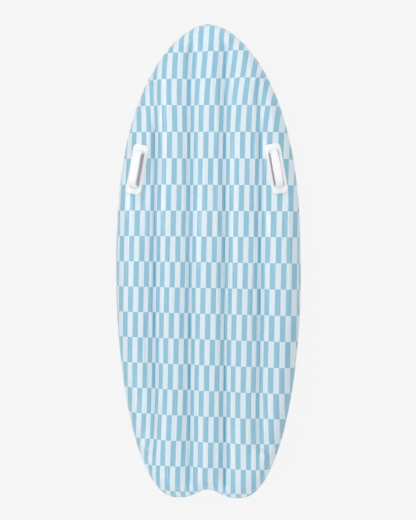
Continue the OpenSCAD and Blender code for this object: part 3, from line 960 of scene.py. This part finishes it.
def grip_strap(name):
    """Half a grip, from the crown's middle down to just inside the base."""
    crown_z = BASE_TOP + GRIP_RISE
    half = channel_section()
    outline = half + [(-across, up) for across, up in half[-2:0:-1]]
    grip = one_face(name, [(across, 0, crown_z + up) for across, up in outline])
    start_edit(grip)
    extrude_on(CROWN_HALF, 0, steps=6)
    bpy.ops.mesh.spin(steps=14, angle=math.pi / 2, axis=(1, 0, 0),
                      center=(0, CROWN_HALF, crown_z - GRIP_BEND))
    extrude_on(0, GRIP_BEND - GRIP_RISE, steps=4)
    extrude_on(0, -GRIP_SINK)
    end_edit()
    return grip


right_grip = grip_strap("right_handle_grip")
print("grip points:", len(right_grip.data.vertices),
      "lowest:", round(float(points_of(right_grip.data)[:, 2].min() - BASE_TOP), 4),
      "furthest:", round(float(points_of(right_grip.data)[:, 1].max()), 4))

# %% Finish the grip and place both handles
PLACE_RIGHT = (Matrix.Translation((SEAT_CENTRE, NOSE_Y - HANDLE_D, SEAM_HEIGHT))
               @ Matrix.Rotation(HANDLE_TURN, 4, "Z") @ Matrix.Rotation(HANDLE_LEAN, 4, "Y"))


def drop_middle_faces(piece):
    """Delete the faces on the mirror plane, which would end up inside the grip."""
    mesh = bmesh.new()
    mesh.from_mesh(piece.data)
    inside = [f for f in mesh.faces if all(abs(v.co.y) < SAME_PLACE for v in f.verts)]
    bmesh.ops.delete(mesh, geom=inside, context="FACES_ONLY")
    mesh.to_mesh(piece.data)
    mesh.free()


def fill_out(piece):
    """Swell the grip at the palm and flare its feet."""
    points = points_of(piece.data)
    y = points[:, 1]
    lift = points[:, 2] - BASE_TOP
    palm = 1 + PALM_SWELL * ease(1 - np.abs(y) / GRIP_FOOT)
    foot = 1 + FOOT_FLARE * np.clip(1 - lift / FLARE_HEIGHT, 0, 1) ** 2
    points[:, 0] *= palm * foot
    on_leg = lift < GRIP_RISE - GRIP_BEND
    middle = np.sign(y) * GRIP_FOOT
    points[:, 1] = np.where(on_leg, middle + (y - middle) * foot, y)
    put_points(piece.data, points)


def place_pair(right, part):
    """Set the right piece on its tube, and make the left one as its mirror image."""
    select_only(right)
    bpy.ops.object.duplicate()
    left = just_added(right.name.replace("right", "left"))
    right.data.transform(PLACE_RIGHT)
    left.data.transform(Matrix.Scale(-1, 4, (1, 0, 0)) @ PLACE_RIGHT)
    left.data.flip_normals()
    for piece, side in ((right, "right"), (left, "left")):
        piece.data.update()
        hand_over(piece, f"handle_{side}_{part}")
    return left


drop_middle_faces(right_grip)
apply_modifier(right_grip, "MIRROR", use_axis=(False, True, False), use_mirror_merge=True,
               merge_threshold=0.02 * MM)
recalculate(right_grip)
fill_out(right_grip)
smooth_by_angle(right_grip, 60)
left_base = place_pair(right_base, "base")
left_grip = place_pair(right_grip, "grip")
for piece, packed_name in ((right_base, "handle_right_base"), (right_grip, "handle_right_grip")):
    low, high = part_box(packed_name)
    points = points_of(piece.data)
    off = np.concatenate([points.min(0) - low, points.max(0) - high])
    print(packed_name, "off by", np.round(off / MM, 1), "mm")

# %% [markdown]
# ## The valve
# The valve is soft vinyl: a collar welded into the underside, a thin sleeve that folds as the
# stem is pushed in or pulled out, the clear stem with its flap, and a plug on a tether. A turned
# piece is drawn as half a section and spun round its axis, and a small bevel takes the knife
# edges off. The stem, the flap and the plug are already turned to size in the model, so they keep
# their shape and only get their finish.

# %% Turned pieces
TURNING_STEPS = 64
VALVE_PLACE = Matrix.Translation((0, VALVE_Y, VALVE_Z)) @ Matrix.Rotation(math.pi / 2, 4, "Z")


def turned(name, section, edge_radius, place):
    """Spin a closed half section, given as (radius, height) pairs, round the Z axis."""
    piece = one_face(name, [(radius, 0, height) for radius, height in section])
    start_edit(piece)
    bpy.ops.mesh.delete(type="ONLY_FACE")
    bpy.ops.mesh.select_all(action="SELECT")
    bpy.ops.mesh.spin(steps=TURNING_STEPS, angle=2 * math.pi, center=ORIGIN, axis=(0, 0, 1))
    end_edit()
    recalculate(piece)
    round_edges(piece, edge_radius, 35)
    piece.data.transform(place)
    smooth_by_angle(piece, 40)
    return piece


print("a turned piece has", TURNING_STEPS, "sides")

# %% The collar
COLLAR_WALL = 1.2 * MM
COLLAR_LIP = 1 * MM
COLLAR_BEAD = 0.8 * MM
COLLAR_ROUND = 0.25 * MM
FLANGE_RADIUS = 20 * MM
FLANGE_LOW = SHEET + 0.05 * MM
FLANGE_HIGH = FLANGE_LOW + 1 * MM
CLOSE = 0.05 * MM
collar = turned("valve_collar", [
    (VALVE_HOLE - COLLAR_WALL, -COLLAR_LIP),
    (VALVE_HOLE + COLLAR_BEAD, -COLLAR_LIP),
    (VALVE_HOLE + COLLAR_BEAD, -CLOSE),
    (VALVE_HOLE - CLOSE, -CLOSE),
    (VALVE_HOLE - CLOSE, FLANGE_LOW),
    (FLANGE_RADIUS, FLANGE_LOW),
    (FLANGE_RADIUS, FLANGE_HIGH),
    (VALVE_HOLE - COLLAR_WALL, FLANGE_HIGH),
], COLLAR_ROUND, VALVE_PLACE)
hand_over(collar, "valve_base")
print("collar:", len(collar.data.polygons), "faces")

# %% [markdown]
# The sleeve joins the collar, which stays, to the root of the stem, which slides. Its section is a
# soft double curve, so it reads as a thin moulded skin. The tether is taken over from the model
# with its corners eased.

# %% The folding sleeve
STEM_LENGTH = 16 * MM
MOUTH_Z = 0.85 * MM
ROOT_Z = MOUTH_Z + STEM_LENGTH
ROOT_RADIUS = 7.6 * MM
ROOT_THICKNESS = 1.6 * MM
SLEEVE_WALL = 0.7 * MM
SLEEVE_OUTER = VALVE_HOLE - COLLAR_WALL - 0.02 * MM
SLEEVE_CUFF = 1.6 * MM
SLEEVE_ROUND = 0.12 * MM
SLEEVE_STEPS = 9


def sleeve_section():
    """Outer line from the collar to the stem's root, then the inner line back."""
    share = np.linspace(0, 1, SLEEVE_STEPS)
    narrow = ROOT_RADIUS + CLOSE
    outer_r = SLEEVE_OUTER + (narrow + SLEEVE_WALL - SLEEVE_OUTER) * ease(share)
    z = SLEEVE_CUFF + (ROOT_Z - ROOT_THICKNESS - SLEEVE_CUFF) * share
    inner = [(r - SLEEVE_WALL, h) for r, h in zip(outer_r, z)][::-1]
    return ([(SLEEVE_OUTER, 0)] + list(zip(outer_r, z)) + [(narrow + SLEEVE_WALL, ROOT_Z)]
            + [(narrow, ROOT_Z)] + inner + [(SLEEVE_OUTER - SLEEVE_WALL, 0)])


sleeve = turned("valve_folding_sleeve", sleeve_section(), SLEEVE_ROUND, VALVE_PLACE)
hand_over(sleeve, "valve_sleeve")
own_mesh(sleeve)

# %% The tether
TETHER_ROUND = 0.15 * MM


def copy_of_node(packed_name, name):
    """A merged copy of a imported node's mesh, as a new piece."""
    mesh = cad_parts[packed_name].data.copy()
    mesh.name = name
    piece = bpy.data.objects.new(name, mesh)
    bpy.context.scene.collection.objects.link(piece)
    mesh.materials.clear()
    recalculate(piece)
    return piece


tether = copy_of_node("valve_tether", "valve_tether_strap")
round_edges(tether, TETHER_ROUND, 50)
smooth_by_angle(tether, 40)
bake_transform(tether)
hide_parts("valve_tether")
print("tether:", len(tether.data.polygons), "faces")

# %% [markdown]
# ## Materials
# Everything here is vinyl, so the finishes share two effects, each made once as a node group. One
# is the fine grain that the rollers leave in the sheet, or the mould in the plastic. The other
# is handling: faint smudges that make the gloss uneven. Each group only gives out a normal or a
# value, and the shader stays in the material, where its plain numbers are set.

# %% Helpers for nodes
def feed(tree, socket, value):
    """Link a socket to another one, or set it to a plain value."""
    if isinstance(value, bpy.types.NodeSocket):
        tree.links.new(value, socket)
    else:
        socket.default_value = value


def node(tree, kind, inputs=None, **settings):
    """A new node with its settings, and with its sockets linked or set."""
    made = tree.nodes.new(kind)
    for key, value in settings.items():
        setattr(made, key, value)
    for socket, value in (inputs or {}).items():
        feed(tree, made.inputs[socket], value)
    return made


def math_node(tree, operation, *values):
    return node(tree, "ShaderNodeMath", dict(enumerate(values)), operation=operation).outputs[0]


def noise(tree, place, scale, detail=2.0):
    inputs = {"Vector": place, "Scale": scale, "Detail": detail}
    return node(tree, "ShaderNodeTexNoise", inputs).outputs["Fac"]


def mixed(tree, share, first, second):
    """A colour between two others."""
    inputs = {"Factor": share, "A": first, "B": second}
    return node(tree, "ShaderNodeMix", inputs, data_type="RGBA").outputs["Result"]


def mask_value(tree, name):
    return node(tree, "ShaderNodeAttribute", attribute_name=name).outputs["Fac"]


def solid_place(tree):
    return node(tree, "ShaderNodeTexCoord").outputs["Object"]


def new_group(name, inputs, outputs):
    """A node group, with its number inputs and their defaults, and its outputs and their kinds."""
    group = bpy.data.node_groups.new(name, "ShaderNodeTree")
    for socket, value in inputs.items():
        made = group.interface.new_socket(
            name=socket, in_out="INPUT", socket_type="NodeSocketFloat")
        made.default_value = value
    for socket, kind in outputs.items():
        group.interface.new_socket(name=socket, in_out="OUTPUT", socket_type="NodeSocket" + kind)
    return group, group.nodes.new("NodeGroupInput"), group.nodes.new("NodeGroupOutput")


print("materials so far:", len(bpy.data.materials))

# %% Shared effects
GRAIN_HEIGHT = 0.2 * MM
SMUDGES_PER_METRE = 7.0
SCUFFS_PER_METRE = 160.0
SCUFF_SHARE = 0.35
SMUDGE_MIDDLE = (1 + SCUFF_SHARE) / 2


def make_grain():
    """Fine pebbling of rolled vinyl, as a normal."""
    group, given, result = new_group(
        "vinyl_grain", {"Cells per metre": 1100.0, "Depth": 0.1}, {"Normal": "Vector"})
    place, cells = solid_place(group), given.outputs["Cells per metre"]
    pebbles = node(group, "ShaderNodeTexVoronoi", {"Vector": place, "Scale": cells},
                   feature="SMOOTH_F1")
    fibres = noise(group, place, cells, 3.0)
    height = math_node(group, "ADD", pebbles.outputs["Distance"], fibres)
    bump = node(group, "ShaderNodeBump", {
        "Strength": given.outputs["Depth"], "Distance": GRAIN_HEIGHT, "Height": height})
    feed(group, result.inputs["Normal"], bump.outputs["Normal"])
    return group


def make_handling():
    """Uneven gloss: a base roughness, varied by slow smudges and fine scuffs."""
    group, given, result = new_group(
        "handling", {"Roughness": 0.4, "Variation": 0.08},
        {"Roughness": "Float", "Smudge": "Float"})
    place = solid_place(group)
    scuffs = math_node(group, "MULTIPLY", noise(group, place, SCUFFS_PER_METRE), SCUFF_SHARE)
    both = math_node(group, "ADD", noise(group, place, SMUDGES_PER_METRE, 4.0), scuffs)
    smudge = math_node(group, "SUBTRACT", both, SMUDGE_MIDDLE)
    varied = math_node(group, "MULTIPLY", smudge, given.outputs["Variation"])
    doubled = math_node(group, "MULTIPLY", varied, 2.0)
    rough = math_node(group, "ADD", given.outputs["Roughness"], doubled)
    feed(group, result.inputs["Roughness"], rough)
    feed(group, result.inputs["Smudge"], smudge)
    return group


GRAIN = make_grain()
HANDLING = make_handling()
print("shared effects:", GRAIN.name, HANDLING.name)

# %% [markdown]
# A plain vinyl starts from its own colour, which slow smudges shade a little. Sheet vinyl is
# glossy and fine-grained, the moulded handles are duller, and the small valve is smooth and
# milky, with no grain. The floor of a handle's sunk hand space gets painted shade, a darker
# lavender grey, by its "hollow" mask.

# %% Steps for a vinyl
SHEET_GRAIN = (1400, 0.10)
GLOSS_VARIATION = 0.10
SMUDGE_TINT = 0.12
SMUDGE_LIFT = 0.35
# painted shade: the darker lavender grey of the sunk hand space's floor, under the grip
HOLLOW_PAINTED_SHADE = (186, 183, 194)


def srgb(red, green, blue):
    """A colour as it looks on a screen, 0 to 255, as the linear colour a shader takes."""
    def linear(value):
        share = value / 255
        return share / 12.92 if share <= 0.04045 else ((share + 0.055) / 1.055) ** 2.4
    return (linear(red), linear(green), linear(blue), 1)


def start_material(name, roughness, variation, grain):
    """A material with its uneven gloss, and with a grain of (cells per metre, depth) if any."""
    material = bpy.data.materials.new(name)
    material.use_nodes = True
    tree = material.node_tree
    shader = tree.nodes["Principled BSDF"]
    if grain:
        cells, depth = grain
        pebbled = node(tree, "ShaderNodeGroup", node_tree=GRAIN)
        feed(tree, pebbled.inputs["Cells per metre"], cells)
        feed(tree, pebbled.inputs["Depth"], depth)
        feed(tree, shader.inputs["Normal"], pebbled.outputs["Normal"])
    handling = node(tree, "ShaderNodeGroup", node_tree=HANDLING)
    feed(tree, handling.inputs["Roughness"], roughness)
    feed(tree, handling.inputs["Variation"], variation)
    feed(tree, shader.inputs["Roughness"], handling.outputs["Roughness"])
    return material, tree, shader, handling.outputs["Smudge"]


def shaded(tree, smudge, colour, darker, amount):
    """Mix a colour towards a darker one where the surface is smudged."""
    lifted = math_node(tree, "ADD", smudge, SMUDGE_LIFT)
    return mixed(tree, math_node(tree, "MULTIPLY", lifted, amount), colour, darker)


def plain_vinyl(name, colour, darker, roughness, grain=None):
    material, tree, shader, smudge = start_material(name, roughness, GLOSS_VARIATION, grain)
    feed(tree, shader.inputs["Base Color"], shaded(tree, smudge, colour, darker, SMUDGE_TINT))
    return material, tree, shader


print("sheet grain, cells per metre and depth:", SHEET_GRAIN)

# %% One vinyl for each kind of piece
white_sheet, _, _ = plain_vinyl(
    "white_vinyl_sheet", srgb(238, 241, 243), srgb(206, 212, 218), 0.36, SHEET_GRAIN)
web_sheet, _, _ = plain_vinyl(
    "web_vinyl_sheet", srgb(226, 229, 231), srgb(196, 200, 205), 0.5, (1400, 0.12))
valve_white, _, _ = plain_vinyl(
    "valve_white_vinyl", srgb(232, 235, 237), srgb(200, 204, 208), 0.38)
valve_clear, _, shader = plain_vinyl(
    "valve_clear_vinyl", srgb(214, 224, 230), srgb(190, 202, 210), 0.22)
shader.inputs["Transmission Weight"].default_value = 0.45
shader.inputs["IOR"].default_value = 1.5
handle_plastic, tree, shader = plain_vinyl(
    "moulded_handle_plastic", srgb(244, 244, 246), srgb(214, 214, 220), 0.42, (2600, 0.06))
plain_white = shader.inputs["Base Color"].links[0].from_socket
# painted shade: the floor of the sunk hand space is drawn darker, where the grip shades it
shaded_hollow = mixed(tree, mask_value(tree, "hollow"), plain_white, srgb(*HOLLOW_PAINTED_SHADE))
feed(tree, shader.inputs["Base Color"], shaded_hollow)
print("plain vinyls:", white_sheet.name, handle_plastic.name, valve_clear.name)

# %% [markdown]
# The print is worked out from its own coordinates: the colour swaps at each half stripe across and
# at each row along. The ink edge wanders by a few tenths of a millimetre, as screen ink does, and
# the ink itself is a little thinner in places. Along the creases at the webs it is darkened as
# painted shade. The seam has no print, only the pressed weld.

# %% Inks and pattern
INK = srgb(138, 188, 210)
INK_THIN = srgb(158, 203, 222)
# painted shade: the ink colour in the creases along the webs
INK_IN_CREASE_SHADE = srgb(119, 183, 204)
INK_SMUDGED = srgb(150, 180, 200)
GROUND = srgb(219, 232, 240)
SEAM_TINT = srgb(236, 243, 248)
SEAM_COVER = 0.95
INK_SMUDGE = 0.06
THIN_SCALE = 26.0
THIN_DETAIL = 5.0
THIN_MOST = 0.6
EDGE_WANDER = 0.018
WANDERS_PER_METRE = 900.0
COUNT_FROM = 1000
TENSION_SCALE = (95, 4, 25)
TENSION_DEPTH = 5 * MM


def alternating(tree, value):
    """0 or 1, changing at each whole number."""
    whole = math_node(tree, "ABSOLUTE", math_node(tree, "FLOOR", value))
    return math_node(tree, "MODULO", whole, 2.0)


def tension_lines(tree, place, shader):
    """Faint lengthwise streaks in the gloss, where the filled tubes pull the sheet taut."""
    stretched = node(tree, "ShaderNodeMapping", {"Vector": place, "Scale": TENSION_SCALE})
    lines = noise(tree, stretched.outputs["Vector"], 1.0, 1.5)
    grain = shader.inputs["Normal"].links[0].from_socket
    bump = node(tree, "ShaderNodeBump", {
        "Distance": TENSION_DEPTH, "Height": lines, "Normal": grain})
    feed(tree, shader.inputs["Normal"], bump.outputs["Normal"])


def ground_of_checker(tree, place):
    """1 on the pale fields and 0 on the inked ones; counts start far up, to stay positive."""
    wander = math_node(tree, "SUBTRACT", noise(tree, place, WANDERS_PER_METRE), 0.5)
    shift = math_node(tree, "MULTIPLY", wander, EDGE_WANDER)
    sheet_place = node(tree, "ShaderNodeUVMap", uv_map="print").outputs["UV"]
    counts = node(tree, "ShaderNodeSeparateXYZ", {0: sheet_place}).outputs
    stripes = math_node(tree, "ADD", math_node(tree, "ADD", counts["X"], shift), COUNT_FROM + 0.5)
    rows = math_node(tree, "ADD", counts["Y"], COUNT_FROM)
    both = math_node(tree, "ADD", alternating(tree, stripes), alternating(tree, rows))
    return math_node(tree, "MODULO", both, 2.0)


def printed_ink(tree, place):
    """The ink, thinner in places, and darker along the web creases as painted shade."""
    patches = noise(tree, place, THIN_SCALE, THIN_DETAIL)
    thin = math_node(tree, "MULTIPLY", patches, THIN_MOST)
    return mixed(tree, mask_value(tree, "weld"), mixed(tree, thin, INK, INK_THIN), INK_IN_CREASE_SHADE)


print("print stripe:", STRIPE, "m, row:", ROW_PITCH, "m")

# %% Printed vinyl
def printed_vinyl():
    material, tree, shader, smudge = start_material(
        "printed_vinyl_sheet", roughness=0.26, variation=0.06, grain=SHEET_GRAIN)
    place = solid_place(tree)
    tension_lines(tree, place, shader)
    pattern = mixed(tree, ground_of_checker(tree, place), printed_ink(tree, place), GROUND)
    on_seam = math_node(tree, "MULTIPLY", mask_value(tree, "seam"), SEAM_COVER)
    edged = mixed(tree, on_seam, pattern, SEAM_TINT)
    colour = shaded(tree, smudge, edged, INK_SMUDGED, INK_SMUDGE)
    feed(tree, shader.inputs["Base Color"], colour)
    return material


deck_vinyl = printed_vinyl()
print("printed vinyl has", len(deck_vinyl.node_tree.nodes), "shader nodes")

# %% Give every piece its finish
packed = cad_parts
FINISHES = (
    (deck_vinyl, (deck,)),
    (white_sheet, (underside,)),
    (handle_plastic, (left_base, left_grip, right_base, right_grip, tether, packed["valve_plug"])),
    (valve_white, (collar,)),
    (valve_clear, (sleeve, packed["valve_stem"], packed["valve_flap"])),
    (web_sheet, [packed[f"web_{side}_{place}"]
                 for side in ("left", "right") for place in ("inner", "outer")]),
)
for material, pieces in FINISHES:
    for piece in pieces:
        piece.data.materials.clear()
        piece.data.materials.append(material)
print("pieces with a finish:", sum(len(pieces) for _, pieces in FINISHES))

# %% [markdown]
# ## Studio
# The board lies on a plain pale floor and is seen from above, nose up, through a long lens. The
# camera leans a few degrees to the board's right. Soft lamps high on both sides draw the streaks
# that run down the tubes, and a broad panel beyond each end lights the rest. The panels are left
# out of reflections, so that the nose and the tail stay free of bars.
#
# The floor shows its own pale colour to the camera and in reflections, and takes a faint shadow.
# It is clear to all other light and from beneath, so that the underside can be looked at too.

# %% Floor and room
FLOOR_SIZE = 14
FLOOR_COLOUR = (0.92, 0.92, 0.92, 1)
FLOOR_SHADOW = 0.05
ROOM_LIGHT = 0.63


def mixed_shader(tree, share, first, second):
    return node(tree, "ShaderNodeMixShader", {0: share, 1: first, 2: second}).outputs[0]


def floor_material():
    material = bpy.data.materials.new("studio_floor")
    material.use_nodes = True
    tree = material.node_tree
    tree.nodes.clear()
    rays = node(tree, "ShaderNodeLightPath").outputs
    seen = math_node(tree, "MAXIMUM", rays["Is Camera Ray"], rays["Is Glossy Ray"])
    glow = node(tree, "ShaderNodeEmission", {"Color": FLOOR_COLOUR}).outputs[0]
    matt = node(tree, "ShaderNodeBsdfDiffuse", {"Color": FLOOR_COLOUR}).outputs[0]
    clear = node(tree, "ShaderNodeBsdfTransparent").outputs[0]
    above = mixed_shader(tree, seen, clear, mixed_shader(tree, FLOOR_SHADOW, glow, matt))
    beneath = node(tree, "ShaderNodeNewGeometry").outputs["Backfacing"]
    surface = mixed_shader(tree, beneath, above, clear)
    node(tree, "ShaderNodeOutputMaterial", {"Surface": surface})
    return material


def soft_room():
    """Even light from all around, behind the same pale shade as the floor."""
    world = bpy.data.worlds.new("soft_room")
    world.use_nodes = True
    tree = world.node_tree
    light = tree.nodes["Background"]
    light.inputs["Color"].default_value = (1, 1, 1, 1)
    light.inputs["Strength"].default_value = ROOM_LIGHT
    backdrop = node(tree, "ShaderNodeBackground", {"Color": FLOOR_COLOUR}).outputs[0]
    seen = node(tree, "ShaderNodeLightPath").outputs["Is Camera Ray"]
    shown = mixed_shader(tree, seen, light.outputs[0], backdrop)
    feed(tree, tree.nodes["World Output"].inputs["Surface"], shown)
    bpy.context.scene.world = world


nothing_selected()
bpy.ops.mesh.primitive_plane_add(size=FLOOR_SIZE, location=(0, 0, -MM))
floor = just_added("studio_floor")
floor.data.materials.append(floor_material())
floor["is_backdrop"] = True
soft_room()
print("floor at", round(floor.location.z, 4))

# %% Lamps
LAMPS = (
    # name, place, point it faces, size, watts
    ("left_front_strip", (-1.84, 0.5, 1.94), (0, 0.4, 0.1), (1.0, 0.6), 11),
    ("left_rear_strip", (-1.84, -1.4, 1.94), (0, -0.5, 0.1), (1.0, 0.6), 7),
    ("right_front_strip", (1.84, 0.5, 1.94), (0, 0.4, 0.1), (1.0, 0.6), 7),
    ("nose_panel", (0, 2.6, 1.6), (0, 0, 0.1), (2.0, 1.0), 24),
    ("tail_panel", (0, -2.6, 1.6), (0, 0, 0.1), (2.0, 1.0), 17),
)


def soft_lamp(name, place, aim, size, power):
    light = bpy.data.lights.new(name, "AREA")
    light.shape = "RECTANGLE"
    light.size, light.size_y = size
    light.energy = power
    lamp = bpy.data.objects.new(name, light)
    lamp.location = place
    lamp.rotation_euler = (Vector(aim) - Vector(place)).to_track_quat("-Z", "Y").to_euler()
    lamp.visible_glossy = "panel" not in name
    bpy.context.scene.collection.objects.link(lamp)


for lamp in LAMPS:
    soft_lamp(*lamp)
bpy.context.scene.view_settings.view_transform = "Standard"
print("lamps:", [name for name, *_ in LAMPS])

# %% Camera
FRAME_HEIGHT = 1.7555
LENS = 100
SENSOR = 36
AIM = Vector((0, 0.003, SEAM_HEIGHT))
VIEW_LEAN = math.radians(5)
camera_data = bpy.data.cameras.new("from_above")
camera_data.lens = LENS
camera_data.sensor_width = SENSOR
camera = bpy.data.objects.new("from_above", camera_data)
reach = FRAME_HEIGHT * LENS / SENSOR
camera.location = AIM + reach * Vector((math.sin(VIEW_LEAN), 0, math.cos(VIEW_LEAN)))
camera.rotation_euler = (0, VIEW_LEAN, 0)
bpy.context.scene.collection.objects.link(camera)
bpy.context.scene.camera = camera
print("camera height:", round(camera.location.z, 3))

# %% [markdown]
# ## Hand over
# The size of the finished model is printed, as the imported one's was at the start.

# %% Finish
low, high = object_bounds()
print("finished box:", [round(v, 4) for v in (*low, *high)])
